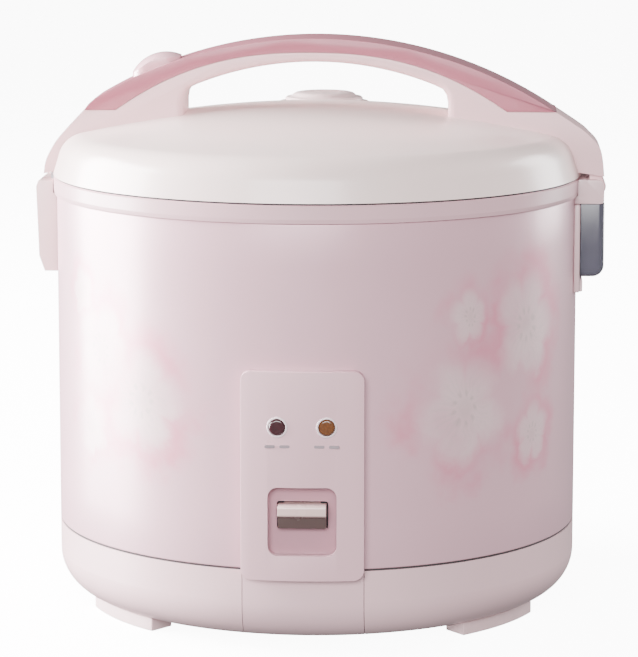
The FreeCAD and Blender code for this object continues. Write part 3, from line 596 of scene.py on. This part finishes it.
nodeLooks = {
    "base_housing": "base", "bottom_cover": "base", "bottom_screws": "steel", "feet": "foot",
    "outer_shell": "shell", "top_ring": "band", "case_screws": "steel", "front_panel": "panel",
    "lamp_lens_cook": "lensCook", "lamp_lens_warm": "lensWarm", "lamp_bulbs": "bulb", "lamp_board": "board",
    "lever_bracket": "steel", "lever_pin": "pin", "microswitch": "switch", "inner_case": "steel",
    "warm_band": "heater", "heater_plate": "heater", "heating_element": "element", "thermal_fuse": "sleeve",
    "sensor_seat": "steel", "sensor_spring": "steel", "inlet_housing": "socket", "inlet_pins": "brass",
    "catch_housing": "catch", "hinge_bracket": "bracket", "hinge_pin": "pin", "hinge_spring": "steel",
    "collector_bracket": "bracket", "lid_cover": "lid", "lid_liner": "liner", "lid_screws": "steel",
    "lid_plate": "pot", "lid_gasket": "gasket", "steam_duct": "liner", "steam_seal": "gasket",
    "handle_strap": "strap", "handle_grip": "grip", "handle_screws": "steel", "latch_pin": "pin",
    "latch_spring": "steel", "release_button": "button", "latch_hook": "steel", "cook_key": "key",
    "lever_arm": "steel", "magnet": "ferrite", "magnet_rod": "pin", "switch_plunger": "plunger",
    "inner_pot": "pot", "sensor_cap": "heater", "sensor_ferrite": "ferrite", "steam_cap": "cap",
    "dew_collector": "smoky",
}
for node, look in nodeLooks.items():
    give(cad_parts[node], looks[look])
print("materials made")


studio = {"floor": tint(250, 249, 250), "floorGlow": 10.0, "sky": 0.30, "key": 400.0, "front": 72.0,
          "rim": 42.0, "lightAim": (0, 0, 0.14)}
camera = {"azimuth": 3.0, "elevation": 8.92, "distance": 1.636, "aim": 0.1571, "lens": 171.2,
          "shift": (0.003, -0.050)}


def areaLight(name, spot, size, energy):
    deselectAll()
    bpy.ops.object.light_add(type="AREA", location=spot)
    lamp = bpy.context.object
    lamp.name = name
    lamp.data.shape = "RECTANGLE"
    lamp.data.size, lamp.data.size_y = size
    lamp.data.energy = energy
    lamp.rotation_euler = (Vector(studio["lightAim"]) - Vector(spot)).to_track_quat("-Z", "Y").to_euler()
    return lamp


def setTheStudio():
    deselectAll()
    bpy.ops.mesh.primitive_plane_add(size=60, location=(0, 0, 0))
    floor = nameIt(bpy.context.object, "floor")
    material, tree, shader = newMaterial("paper_floor")
    here = objectCoordinates(tree)
    paper = noise(tree, here, 3, 3)
    tree.links.new(ramp(tree, paper, [(0.3, studio["floor"]), (0.8, mottled(studio["floor"], 0.02))]),
                   shader.inputs["Base Color"])
    shader.inputs["Roughness"].default_value = 0.9
    shader.inputs["Emission Color"].default_value = (1, 1, 1, 1)
    shader.inputs["Emission Strength"].default_value = studio["floorGlow"]
    give(floor, material)
    floor.visible_diffuse = False  # a lit table that doesn't wash out the underside
    floor.visible_glossy = False
    world = bpy.data.worlds.new("white_room")
    world.use_nodes = True
    world.node_tree.nodes["Background"].inputs["Color"].default_value = (1, 1, 1, 1)
    world.node_tree.nodes["Background"].inputs["Strength"].default_value = studio["sky"]
    bpy.context.scene.world = world
    areaLight("key_left", (-1.66, 0.24, 0.45), (1.3, 1.5), studio["key"])
    areaLight("front_soft", (-0.2, -2.05, 0.85), (1.4, 0.9), studio["front"])
    areaLight("rim_right", (1.5, 0.9, 0.6), (0.7, 1.2), studio["rim"])


def setTheCamera():
    deselectAll()
    azimuth, elevation = math.radians(camera["azimuth"]), math.radians(camera["elevation"])
    back = Vector((math.sin(azimuth) * math.cos(elevation), -math.cos(azimuth) * math.cos(elevation),
                   math.sin(elevation)))
    bpy.ops.object.camera_add(location=Vector((0, 0, camera["aim"])) + back * camera["distance"])
    view = bpy.context.object
    view.name = "front_view"
    view.rotation_euler = (-back).to_track_quat("-Z", "Y").to_euler()
    view.data.lens = camera["lens"]
    view.data.sensor_width = 36
    view.data.shift_x, view.data.shift_y = camera["shift"]
    view.data.clip_end = 50
    bpy.context.scene.camera = view


# an outline in the XZ plane, walked point by point, then pulled along Y
def drawn(name, points, y0, y1):
    deselectAll()
    x, z = points[0]
    bpy.ops.mesh.primitive_plane_add(size=0.001, location=(x, y0, z))
    piece = nameIt(bpy.context.object, name)
    bpy.ops.object.transform_apply(location=True)
    bpy.ops.object.mode_set(mode="EDIT")
    bpy.ops.mesh.select_mode(type="VERT")
    bpy.ops.mesh.select_all(action="SELECT")
    bpy.ops.mesh.merge(type="CENTER")
    for nextX, nextZ in points[1:]:
        bpy.ops.mesh.extrude_vertices_move(TRANSFORM_OT_translate={"value": (nextX - x, 0, nextZ - z)})
        x, z = nextX, nextZ
    objectMode()
    count = len(piece.data.vertices)
    for vertex in piece.data.vertices:
        vertex.select = vertex.index in (0, count - 1)
    bpy.ops.object.mode_set(mode="EDIT")
    bpy.ops.mesh.edge_face_add()
    bpy.ops.mesh.select_all(action="SELECT")
    bpy.ops.mesh.edge_face_add()
    bpy.ops.mesh.extrude_region_move(TRANSFORM_OT_translate={"value": (0, y1 - y0, 0)})
    bpy.ops.mesh.select_all(action="SELECT")
    bpy.ops.mesh.normals_make_consistent(inside=False)
    objectMode()
    return piece


# rounds the edges that the test picks
def roundOff(piece, width, segments, test):
    editMode(piece, "EDGE")
    pickEdges(piece, test)
    bpy.ops.mesh.bevel(offset=width, segments=segments, profile=0.5, affect="EDGES", clamp_overlap=True)
    objectMode()
    return piece


def curve(points, steps):
    # a smooth run through a few points
    found = []
    for i in range(len(points) - 1):
        before, after = points[max(i - 1, 0)], points[min(i + 2, len(points) - 1)]
        for j in range(steps):
            t = j / steps
            found.append(tuple(0.5 * (2 * b + (c - a) * t + (2 * a - 5 * b + 4 * c - d) * t * t
                                      + (3 * b - a - 3 * c + d) * t ** 3)
                               for a, b, c, d in zip(before, points[i], points[i + 1], after)))
    return found + [points[-1]]


# the steel shell: rolled edges that leave a groove over the base, darkened by a painted-shade ring

shellPiece = {"groove": 0.9 * mm, "roll": 0.7 * mm, "wall": 0.8 * mm, "segments": 240, "topGap": 0.2 * mm,
              "inletGap": 0.3 * mm, "inletCorner": 5.2 * mm, "keyLow": (-0.022, -0.16, 0.048),
              "keyHigh": (0.022, -0.1, 0.122)}


def makeShell():
    low, high = shellBottom + shellPiece["groove"], shellTop - shellPiece["topGap"]
    roll, wall = shellPiece["roll"], shellPiece["wall"]
    foot = arcRings(bodyR - roll, low + roll, roll, -90, 0, 4)
    head = arcRings(bodyR - roll, high - roll, roll, 0, 90, 4)
    steps = [(bodyR, low + (high - low) * i / 8) for i in range(1, 8)]
    shell = turned("shell_skin", foot + steps + head + [(bodyR - wall, high), (bodyR - wall, low)],
                   shellPiece["segments"], loop=True)
    inLow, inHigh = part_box("inlet_housing")
    gap = shellPiece["inletGap"]
    boolean(shell, roundedBlock("inlet_cut", (inLow.x - gap, 0.1, inLow.z - gap),
                                (inHigh.x + gap, 0.16, inHigh.z + gap), shellPiece["inletCorner"], 1))
    boolean(shell, block("key_cut", shellPiece["keyLow"], shellPiece["keyHigh"]))
    smooth(shell, 40)
    place(shell, "housing", looks["shell"], "outer_shell")


# dark rings put in the seams under the lid and over the base: painted shade that shows as thin lines

seamShade = {"baseIn": 0.55 * mm, "baseUnder": 1.0 * mm, "baseOver": 0.8 * mm, "lidIn": 0.7 * mm,
        "lidOver": 8.8 * mm, "lidGap": 0.12 * mm, "thick": 0.9 * mm, "segments": 240}


def makeSeamShades():
    overBase = (shellBottom - seamShade["baseUnder"], shellBottom + seamShade["baseOver"])
    underLid = (shellTop + seamShade["lidOver"], lidBottom - seamShade["lidGap"])
    for name, radius, (low, high), slot in (("base_seam_shade", bodyR - seamShade["baseIn"], overBase, "base_housing"),
                                            ("lid_seam_shade", ringR - seamShade["lidIn"], underLid, "top_ring")):
        inner = radius - seamShade["thick"]
        rings = [(radius, low), (radius, high), (inner, high), (inner, low)]
        # painted shade: each ring is a dark band where the seam lies in shade
        ring = turned(name, rings, seamShade["segments"], loop=True)
        softenEdges(ring, 0.15 * mm, 2, 40)
        smooth(ring, 40)
        place(ring, "housing", looks["seamShade"])


# handle: strap with the window, grip on top, a soft parting line between them

handleLook = {"halfWidth": 18 * mm, "ends": 126 * mm, "endLevel": 31.2 * mm, "gripMid": 7.3 * mm,
              "partSpan": 44 * mm, "partDrop": 4.1 * mm, "partPower": 2.4, "partShift": -2.4 * mm,
              "gripEnd": 33.0 * mm, "under": 12.2 * mm, "windowHalf": 68 * mm, "windowDrop": 11.7 * mm,
              "rimRound": 2.4 * mm, "windowRound": 3.4 * mm, "gripRound": 4.2 * mm}


def topArc(x):
    rise = handleTop - (lidBottom + handleLook["endLevel"])
    radius = (handleLook["ends"] ** 2 + rise ** 2) / (2 * rise)
    return handleTop - radius + math.sqrt(radius ** 2 - x ** 2)


def partLine(x):
    away = abs(x - handleLook["partShift"]) / handleLook["partSpan"]
    return handleTop - handleLook["gripMid"] - handleLook["partDrop"] * away ** handleLook["partPower"]


def partEnds(level):
    fall = (handleTop - handleLook["gripMid"] - level) / handleLook["partDrop"]
    away = fall ** (1 / handleLook["partPower"])
    middle, reach = handleLook["partShift"], away * handleLook["partSpan"]
    return middle - reach, middle + reach


def along(low, high, count, height):
    stations = [low + (high - low) * i / count for i in range(count + 1)]
    return [(x, height(x)) for x in stations]


leftEdge = curve([(-140.6, 0), (-139.3, 7.2), (-134.5, 16.2), (-128, 24), (-119.4, 33.0)], 6)
rightEdge = curve([(123.3, 33.0), (136, 24.6), (141, 20.4), (146.5, 13.4), (148.4, 0)], 6)


def lidSolid(name, inset):
    crown = lidHigh.z
    shoulderR, shoulderZ = bodyR - 13 * mm, lidBottom + 21.2 * mm
    rise = crown - shoulderZ
    ball = (shoulderR ** 2 + rise ** 2) / (2 * rise)
    side = curve([(bodyR + 1.8 * mm, lidBottom - 3 * mm), (bodyR + 1.4 * mm, lidBottom + 3 * mm),
                  (bodyR - 1 * mm, lidBottom + 9.2 * mm), (bodyR - 4.8 * mm, lidBottom + 16.6 * mm),
                  (shoulderR, shoulderZ)], 5)
    top = [(shoulderR * (1 - i / 14), crown - ball + math.sqrt(ball ** 2 - (shoulderR * (1 - i / 14)) ** 2))
           for i in range(1, 14)]
    return turned(name, [(r - inset, z - inset) for r, z in side + top], 192, capStart=True, capEnd=True)


def makeStrap():
    half, under = handleLook["halfWidth"], handleTop - handleLook["under"]
    level = lidBottom + handleLook["gripEnd"]
    leftPart, rightPart = partEnds(level)
    left = [(x * mm, lidBottom + z * mm) for x, z in leftEdge]
    right = [(x * mm, lidBottom + z * mm) for x, z in rightEdge]
    wide, drop = handleLook["windowHalf"], handleLook["windowDrop"]
    bendR = (61 * mm) ** 2 / (2 * drop) + drop / 2
    window = [(wide, lidBottom + 12 * mm), (wide, under - drop - 9 * mm),
              (wide - 0.7 * mm, under - drop - 5.2 * mm), (wide - 2.6 * mm, under - drop - 2.1 * mm)]
    window += along(61 * mm, -61 * mm, 36, lambda x: under - bendR + math.sqrt(bendR ** 2 - x ** 2))
    window += [(-wide + 2.6 * mm, under - drop - 2.1 * mm), (-wide + 0.7 * mm, under - drop - 5.2 * mm),
               (-wide, under - drop - 9 * mm), (-wide, lidBottom + 12 * mm)]
    points = left + along(leftPart, rightPart, 60, partLine) + right + window
    strap = drawn("handle_strap_shell", points, -half, half)

    def onPart(v):
        return v.z > level - 0.1 * mm and abs(v.z - max(partLine(v.x), level)) < 0.05 * mm

    def inWindow(v):
        return abs(v.x) < wide + 0.1 * mm and v.z < partLine(v.x) - 1 * mm

    def sameSide(a, b):
        return abs(a.y - b.y) < 1e-6 and abs(abs(a.y) - half) < 1e-6

    roundOff(strap, handleLook["windowRound"], 5, lambda a, b: sameSide(a, b) and inWindow(a) and inWindow(b)
             and not (a.z < lidBottom + 13 * mm and b.z < lidBottom + 13 * mm))
    roundOff(strap, 0.5 * mm, 2, lambda a, b: sameSide(a, b) and onPart(a) and onPart(b))
    roundOff(strap, handleLook["rimRound"], 4, lambda a, b: sameSide(a, b)
             and not inWindow(a) and not inWindow(b) and not (onPart(a) and onPart(b))
             and max(a.z, b.z) > lidBottom + 0.1 * mm)
    smooth(strap, 32)
    boolean(strap, lidSolid("lid_cut", 0.4 * mm))
    hollow = [(-139.3, -2), (-138.3, 7.2), (-132.6, 14.3), (-126.1, 22.1), (-116.1, 32.3), (-112, 37),
              (-72, 67), (-72, -2)]
    boolean(strap, drawn("hollow", [(x * mm, lidBottom + z * mm) for x, z in hollow], -10.4 * mm, 10.4 * mm))
    return smooth(strap, 32)


earLook = {"radius": 4.1 * mm, "depth": 3.5 * mm, "away": 13.75 * mm, "bore": 2.06 * mm, "neck": 2.5 * mm}


def makeEars():
    pinLow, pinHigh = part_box("hinge_pin")
    x, z = (pinLow.x + pinHigh.x) / 2, (pinLow.z + pinHigh.z) / 2
    radius, thick = earLook["radius"], earLook["depth"] / 2
    ears = []
    for side in (-1, 1):
        y = side * earLook["away"]
        ear = pegAlongY("hinge_ear", radius, earLook["depth"], (x, y, z), 48)
        neck = block("neck", (x - radius, y - thick, z),
                     (x + earLook["neck"], y + thick, lidBottom + 1.2 * mm))
        boolean(ear, neck, "UNION")
        boolean(ear, pegAlongY("bore", earLook["bore"], 6 * mm, (x, y, z), 32))
        ears.append(softenEdges(ear, 0.4 * mm, 2, 50))
    return ears


def makeGrip():
    half = handleLook["halfWidth"] + 0.25 * mm
    level = lidBottom + handleLook["gripEnd"]
    leftPart, rightPart = partEnds(level)
    left, right = -119.4 * mm, 123.3 * mm
    top = [(left, level), (left + 2.6 * mm, topArc(left + 2.6 * mm) - 0.9 * mm)]
    top += along(left + 6 * mm, right, 72, topArc)
    bottom = [(x, z + 0.12 * mm) for x, z in along(rightPart, leftPart, 60, partLine)]
    grip = drawn("grip_cover", top + [(right + 0.4 * mm, level + 0.12 * mm)] + bottom, -half, half)

    def onTop(v):
        return v.z > max(partLine(v.x), level) + 1.2 * mm

    roundOff(grip, handleLook["gripRound"], 7, lambda a, b: abs(a.y - b.y) < 1e-6 and (onTop(a) or onTop(b)))
    roundOff(grip, 0.45 * mm, 2, lambda a, b: abs(a.y - b.y) < 1e-6 and abs(abs(a.y) - half) < 1e-6
             and not onTop(a) and not onTop(b))
    knobLow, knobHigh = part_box("release_button")
    hole = roundedBlock("button_hole", (knobLow.x - 0.35 * mm, knobLow.y - 0.35 * mm, lidBottom),
                        (knobHigh.x + 0.35 * mm, knobHigh.y + 0.35 * mm, handleTop + 0.01), 8 * mm, 2, 10)
    boolean(grip, hole)
    smooth(grip, 32)
    place(grip, "lid", looks["grip"], "handle_grip")


def makeHandle():
    strap = makeStrap()
    ears = makeEars()
    makeActive(strap)
    for ear in ears:
        ear.select_set(True)
    bpy.context.view_layer.objects.active = strap
    bpy.ops.object.join()
    smooth(strap, 32)
    place(strap, "lid", looks["strap"], "handle_strap")
    makeGrip()


# small mouldings keep their CAD shape and get softened edges

softened = {
    "feet": (1.6 * mm, 4, 40), "release_button": (1.6 * mm, 4, 30), "catch_housing": (1.5 * mm, 4, 35),
    "hinge_bracket": (0.7 * mm, 3, 40), "collector_bracket": (0.8 * mm, 3, 40),
    "dew_collector": (0.45 * mm, 3, 45), "cook_key": (1.7 * mm, 5, 30),
}


def makeSoftened():
    for node, (width, segments, angle) in softened.items():
        piece = refinedCopy(node, node + "_soft", width, segments, angle)
        place(piece, bodyOf[node], looks[nodeLooks[node]], node)


# raised front panel with its key recess and lamp bezels

# recess and slot: width, height, level of the middle
panelLook = {"out": 5.5 * mm, "corner": 5 * mm, "rim": 2.2 * mm, "recess": (33.5 * mm, 34 * mm, 68 * mm),
             "recessRim": 2.6 * mm, "deep": 6.5 * mm, "slot": (25 * mm, 13.5 * mm, 70.4 * mm),
             "lampGap": 24 * mm, "lampHole": 4.15 * mm, "lampZ": 114.7 * mm, "low": 38.7 * mm,
             "high": 141.7 * mm, "half": 30 * mm}


def makePanel():
    half, low, high = panelLook["half"], panelLook["low"], panelLook["high"]
    outR = bodyR + panelLook["out"]
    panel = roundedBlock("panel_face", (-half, -0.16, low), (half, -0.11, high), panelLook["corner"], 1, 10)
    tube = turned("panel_tube", [(outR, low - 5 * mm), (outR, high + 5 * mm), (bodyR - 2 * mm, high + 5 * mm),
                                 (bodyR - 2 * mm, low - 5 * mm)], 360, loop=True)
    boolean(panel, tube, "INTERSECT")
    mergeAndFace(panel, 0.000002)

    def nearOutline(a, b):
        beside = min(abs(a.x), abs(b.x)) > half - 5.2 * mm
        return beside or any(min(abs(a.z - level), abs(b.z - level)) < 0.2 * mm for level in (low, high))

    roundOff(panel, panelLook["rim"], 6, lambda a, b: nearOutline(a, b) and onRim(a) and onRim(b)
             and min(math.hypot(v.x, v.y) for v in (a, b)) > outR - 0.1 * mm)
    for name, backY, corner, segments in (("recess", -(outR - panelLook["deep"]), 5 * mm, 8),
                                          ("slot", -0.1, 1.2 * mm, 4)):
        width, height, level = panelLook[name]
        boolean(panel, roundedBlock(name, (-width / 2, -0.16, level - height / 2),
                                    (width / 2, backY, level + height / 2), corner, 1, segments))
    for side in (-1, 1):
        spot = (side * panelLook["lampGap"] / 2, -0.13, panelLook["lampZ"])
        boolean(panel, pegAlongY("lamp_hole", panelLook["lampHole"], 0.06, spot, 48))
    mergeAndFace(panel, 0.000002)
    width, height, level = panelLook["recess"]

    def onRecessRim(v):
        inside = abs(v.x) < width / 2 + 0.1 * mm and abs(v.z - level) < height / 2 + 0.1 * mm
        return inside and math.hypot(v.x, v.y) > outR - 0.15 * mm

    roundOff(panel, panelLook["recessRim"], 6, lambda a, b: onRecessRim(a) and onRecessRim(b))
    smooth(panel, 32)
    place(panel, "housing", looks["panel"], "front_panel")


def onRim(v):
    # near the rounded outline of the panel face
    half, low, high = panelLook["half"], panelLook["low"], panelLook["high"]
    edge = panelLook["corner"]
    dx, dz = abs(v.x) - (half - edge), max(low + edge - v.z, v.z - (high - edge))
    if dx > 0 and dz > 0:
        return math.hypot(dx, dz) > edge - 0.2 * mm
    return dx > edge - 0.1 * mm or dz > edge - 0.1 * mm


def makeSkirt():
    # the part of the moulding that runs down over the base
    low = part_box("base_housing")[0].z
    bowl, bowlZ = 20.5 * mm, 26 * mm
    edge = -math.degrees(math.asin((bowlZ - low) / bowl))
    rings = arcRings(bodyR - bowl, bowlZ, bowl, edge, 0, 14)
    rings += [(bodyR, bowlZ + 8 * mm), (bodyR, shellBottom - 1.1 * mm)]
    skirt = turned("panel_skirt", rings, 360, capStart=True, capEnd=True)
    half = panelLook["half"] - 0.3 * mm
    cut = block("skirt_cut", (-half, -0.16, 0), (half, -bodyR + 23.7 * mm, shellBottom))
    boolean(skirt, cut, "INTERSECT")
    mergeAndFace(skirt, 0.000002)
    smooth(skirt, 32)
    place(skirt, "housing", looks["skirt"], "front_panel")


dashLook = {"away": 3.6 * mm, "half": 2.5 * mm, "proud": 0.06 * mm, "low": 104.6 * mm, "high": 106.0 * mm}


def makeBezels():
    outR = bodyR + panelLook["out"]
    for side, name in ((-1, "bezel_cook"), (1, "bezel_warm")):
        x = side * panelLook["lampGap"] / 2
        turn = math.asin(x / outR)
        rings = [(4.12 * mm, -0.5 * mm), (4.12 * mm, 0.25 * mm), (4.3 * mm, 0.45 * mm), (4.7 * mm, 0.45 * mm),
                 (5.0 * mm, 0.3 * mm), (5.2 * mm, 0.0), (5.2 * mm, -0.5 * mm)]
        bezel = turned(name, rings, 64, loop=True)
        makeActive(bezel)
        bezel.rotation_euler = (math.pi / 2, 0, turn)
        bezel.location = (x, -outR * math.cos(turn), panelLook["lampZ"])
        settle(bezel)
        smooth(bezel, 40)
        place(bezel, "housing", looks["bezel"])
        for step in (-1, 1):
            # two plain dashes under each lamp
            middle, half = x + step * dashLook["away"], dashLook["half"]
            dash = roundedBlock("dash_%s_%s" % (name, "ab"[step > 0]),
                                (middle - half, -outR - dashLook["proud"], dashLook["low"]),
                                (middle + half, -outR + 1.2 * mm, dashLook["high"]), 0.6 * mm, 1, 4)
            place(dash, "housing", looks["dash"])


# steam cap: a low dome on a rim, with three vent slots

capLook = {"radius": 21 * mm, "neck": 16.8 * mm, "rise": 5.0 * mm, "segments": 96, "slotHalf": 8.5 * mm,
           "middleSlotHalf": 10.5 * mm, "slotGap": 5.4}


def makeCap():
    low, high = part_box("steam_cap")
    centre = ((low.x + high.x) / 2, (low.y + high.y) / 2)
    top, r = high.z, capLook["radius"]
    neck, seat = capLook["neck"], top - capLook["rise"]
    rings = [(neck, low.z), (neck, seat), (r - 0.8 * mm, seat), (r, seat + 0.7 * mm), (r, seat + 1.4 * mm),
             (r - 0.7 * mm, seat + 2.2 * mm), (r - 2.4 * mm, seat + 2.5 * mm), (r - 3.6 * mm, seat + 2.9 * mm)]
    dome = [(16.6, 3.7), (15.6, 4.3), (14.2, 4.65), (11, 4.9), (6, 4.98), (2, 5.0)]
    rings += [(radius * mm, seat + height * mm) for radius, height in dome]
    cap = turned("steam_cap_dome", rings, capLook["segments"], center=centre, capStart=True, capEnd=True)
    for shift in (-capLook["slotGap"], 0, capLook["slotGap"]):
        half = capLook["slotHalf"] if shift else capLook["middleSlotHalf"]
        y = centre[1] + shift * mm
        slot = roundedBlock("vent_slot", (centre[0] - half, y - 1.1 * mm, seat + 3.2 * mm),
                            (centre[0] + half, y + 1.1 * mm, top + 2 * mm), 1.0 * mm, 2, 4)
        boolean(cap, slot)
    smooth(cap, 30)
    place(cap, "cap", looks["cap"], "steam_cap")


bodyOf = {"feet": "housing", "release_button": "button", "catch_housing": "housing",
          "hinge_bracket": "housing", "collector_bracket": "housing", "dew_collector": "collector",
          "cook_key": "lever"}

for stage, make in (("shell", makeShell), ("seam_shades", makeSeamShades), ("handle", makeHandle),
                    ("softened mouldings", makeSoftened), ("skirt", makeSkirt),
                    ("panel", makePanel), ("bezels", makeBezels), ("steam cap", makeCap)):
    make()
    print("made", stage)

setTheStudio()
setTheCamera()
print("studio set")
